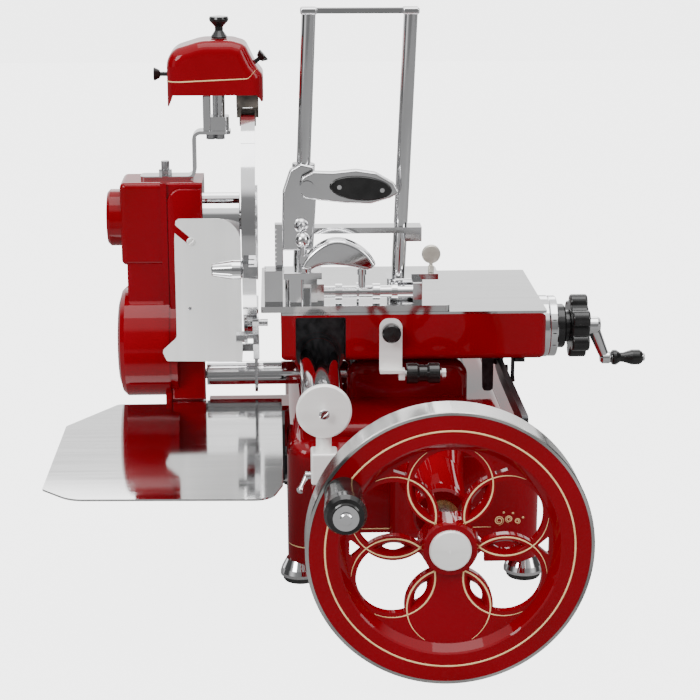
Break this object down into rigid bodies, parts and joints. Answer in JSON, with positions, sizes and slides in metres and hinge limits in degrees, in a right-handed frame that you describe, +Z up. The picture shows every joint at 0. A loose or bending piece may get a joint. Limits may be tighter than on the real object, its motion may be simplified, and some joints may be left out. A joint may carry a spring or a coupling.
{
  "type": "hand-cranked meat slicer",
  "caption": "Hand-cranked flywheel meat slicer with round blade, sliding carriage, meat press on a mast, sharpener hood, slice tray and four feet.",
  "frame": {"origin": "bottom centre of the bounding box, on the surface that the feet stand on", "axes": "+X to the right along the blade's axis, +Y from the flywheel towards the back, +Z up"},
  "size_m": [0.7834, 0.826, 0.725],
  "materials": {
    "red_enamel": "gloss",
    "chrome": "polished",
    "stainless": "polished",
    "steel": "satin",
    "dark_steel": "satin",
    "bronze": "satin",
    "black_plastic": "gloss",
    "rubber": "matte",
    "stone": "rough"
  },
  "bodies": {
    "frame": {"base_casting": "red_enamel", "foot_caps": "chrome", "foot_pads": "rubber", "guide_rail": "chrome", "rail_post": "chrome", "shaft_bearings": "bronze", "cross_shaft_housing": "chrome", "drive_casing": "red_enamel", "chain_cover": "red_enamel", "bearing_tube": "chrome", "drive_chain": "dark_steel", "sharpener_strap": "chrome", "strap_bolts": "steel", "guard_ring": "chrome", "guard_brackets": "steel", "deflector_plate": "stainless", "receiving_tray": "stainless", "tray_bracket": "dark_steel"},
    "rail_lock": {"rail_lock_lever": "chrome"},
    "guard_knob": {"deflector_knob": "chrome"},
    "flywheel": {"flywheel_rim": "chrome", "flywheel_disc": "red_enamel", "hub_cap": "chrome", "drive_shaft": "steel", "handle_spindle": "chrome"},
    "wheel_handle": {"handle_grip": "black_plastic"},
    "cross_shaft": {"cross_shaft": "steel", "cross_gears": "steel"},
    "counter_shaft": {"counter_shaft": "steel", "drum_gears": "steel"},
    "blade": {"blade": "stainless", "blade_flange": "stainless", "blade_shaft": "steel"},
    "carriage": {"carriage_box": "red_enamel", "rail_bushes": "bronze", "carriage_top": "stainless", "end_collar": "chrome", "dial_ring": "black_plastic", "front_bracket": "chrome", "drive_link": "dark_steel"},
    "guide_roller": {"guide_roller": "black_plastic"},
    "bracket_knob": {"bracket_knob": "black_plastic"},
    "thickness_knob": {"thickness_knob": "black_plastic"},
    "meat_table": {"meat_table": "stainless", "feed_nut": "steel", "mast": "chrome", "clamp_base": "chrome", "clamp_jaw": "chrome"},
    "feed_crank": {"feed_crank": "chrome"},
    "crank_grip": {"crank_grip": "black_plastic"},
    "press": {"press_block": "chrome"},
    "press_lever": {"press_lever": "chrome", "lever_grip": "black_plastic"},
    "clamp_lever": {"clamp_lever": "chrome"},
    "thumb_disc": {"thumb_disc": "chrome"},
    "sharpener": {"sharpener_hood": "red_enamel", "sharpening_stones": "stone"},
    "sharpener_knob": {"sharpener_knob": "black_plastic"},
    "left_button": {"left_stone_button": "black_plastic"},
    "right_button": {"right_stone_button": "black_plastic"}
  },
  "joints": [
    {"name": "flywheel_turn", "type": "hinge", "parent": "frame", "child": "flywheel", "pos_m": [0.07399, -0.333, 0.173], "axis": [0, 1, 0], "continuous": true},
    {"name": "handle_spin", "type": "hinge", "parent": "flywheel", "child": "wheel_handle", "pos_m": [-0.04466, -0.333, 0.2415], "axis": [0, 1, 0], "continuous": true},
    {"name": "cross_shaft_turn", "type": "hinge", "parent": "frame", "child": "cross_shaft", "pos_m": [-0.14971, 0.207, 0.224], "axis": [1, 0, 0], "continuous": true},
    {"name": "counter_shaft_turn", "type": "hinge", "parent": "frame", "child": "counter_shaft", "pos_m": [-0.14971, 0.207, 0.272], "axis": [1, 0, 0], "continuous": true},
    {"name": "blade_turn", "type": "hinge", "parent": "frame", "child": "blade", "pos_m": [-0.14971, 0.207, 0.44], "axis": [1, 0, 0], "continuous": true},
    {"name": "carriage_slide", "type": "slide", "parent": "frame", "child": "carriage", "axis": [0, 1, 0], "range_m": [-0.19, 0.04]},
    {"name": "guide_roller_spin", "type": "hinge", "parent": "carriage", "child": "guide_roller", "pos_m": [0.05429, 0.085, 0.256], "axis": [1, 0, 0], "continuous": true},
    {"name": "bracket_knob_turn", "type": "hinge", "parent": "carriage", "child": "bracket_knob", "pos_m": [0.03429, 0.092, 0.312], "axis": [0, -1, 0], "range_deg": [0, 330]},
    {"name": "thickness_turn", "type": "hinge", "parent": "carriage", "child": "thickness_knob", "pos_m": [0.24029, 0.187, 0.292], "axis": [1, 0, 0], "range_deg": [0, 300]},
    {"name": "table_feed", "type": "slide", "parent": "carriage", "child": "meat_table", "axis": [1, 0, 0], "range_m": [0, 0.095]},
    {"name": "feed_crank_turn", "type": "hinge", "parent": "carriage", "child": "feed_crank", "pos_m": [0.30929, 0.187, 0.292], "axis": [1, 0, 0], "range_deg": [0, 7200]},
    {"name": "crank_grip_spin", "type": "hinge", "parent": "feed_crank", "child": "crank_grip", "pos_m": [0.34529, 0.187, 0.246], "axis": [1, 0, 0], "continuous": true},
    {"name": "press_slide", "type": "slide", "parent": "meat_table", "child": "press", "axis": [0.0401, 0, 0.9992], "range_m": [0, 0.17]},
    {"name": "press_lever_turn", "type": "hinge", "parent": "press", "child": "press_lever", "pos_m": [-0.07371, 0.141, 0.495], "axis": [0, -1, 0], "range_deg": [0, 40]},
    {"name": "clamp_lever_turn", "type": "hinge", "parent": "meat_table", "child": "clamp_lever", "pos_m": [-0.07771, 0.11, 0.389], "axis": [0, 0, 1], "range_deg": [-80, 0]},
    {"name": "thumb_disc_turn", "type": "hinge", "parent": "meat_table", "child": "thumb_disc", "pos_m": [0.09129, 0.155, 0.38], "axis": [0, 0, 1], "range_deg": [-90, 90]},
    {"name": "sharpener_lift", "type": "slide", "parent": "frame", "child": "sharpener", "axis": [0, 0, 1], "range_m": [0, 0.035]},
    {"name": "sharpener_knob_turn", "type": "hinge", "parent": "sharpener", "child": "sharpener_knob", "pos_m": [-0.18671, 0.207, 0.682], "axis": [0, 0, 1], "range_deg": [0, 360]},
    {"name": "left_button_push", "type": "slide", "parent": "sharpener", "child": "left_button", "axis": [1, 0, 0], "range_m": [0, 0.006], "stiffness_N_per_m": 300},
    {"name": "right_button_push", "type": "slide", "parent": "sharpener", "child": "right_button", "axis": [-0.769, 0, -0.6392], "range_m": [0, 0.006], "stiffness_N_per_m": 300},
    {"name": "rail_lock_turn", "type": "hinge", "parent": "frame", "child": "rail_lock", "pos_m": [-0.07971, -0.118, 0.188], "axis": [1, 0, 0], "range_deg": [-90, 30]},
    {"name": "guard_knob_turn", "type": "hinge", "parent": "frame", "child": "guard_knob", "pos_m": [-0.16971, 0.039, 0.4085], "axis": [-1, 0, 0], "range_deg": [0, 360]}
  ],
  "couplings": [
    {"joint": "cross_shaft_turn", "follows": "flywheel_turn", "ratio": 3},
    {"joint": "counter_shaft_turn", "follows": "flywheel_turn", "ratio": -1.5},
    {"joint": "blade_turn", "follows": "flywheel_turn", "ratio": -2.6667},
    {"joint": "feed_crank_turn", "follows": "table_feed", "rad_per_m": 1047.2}
  ]
}
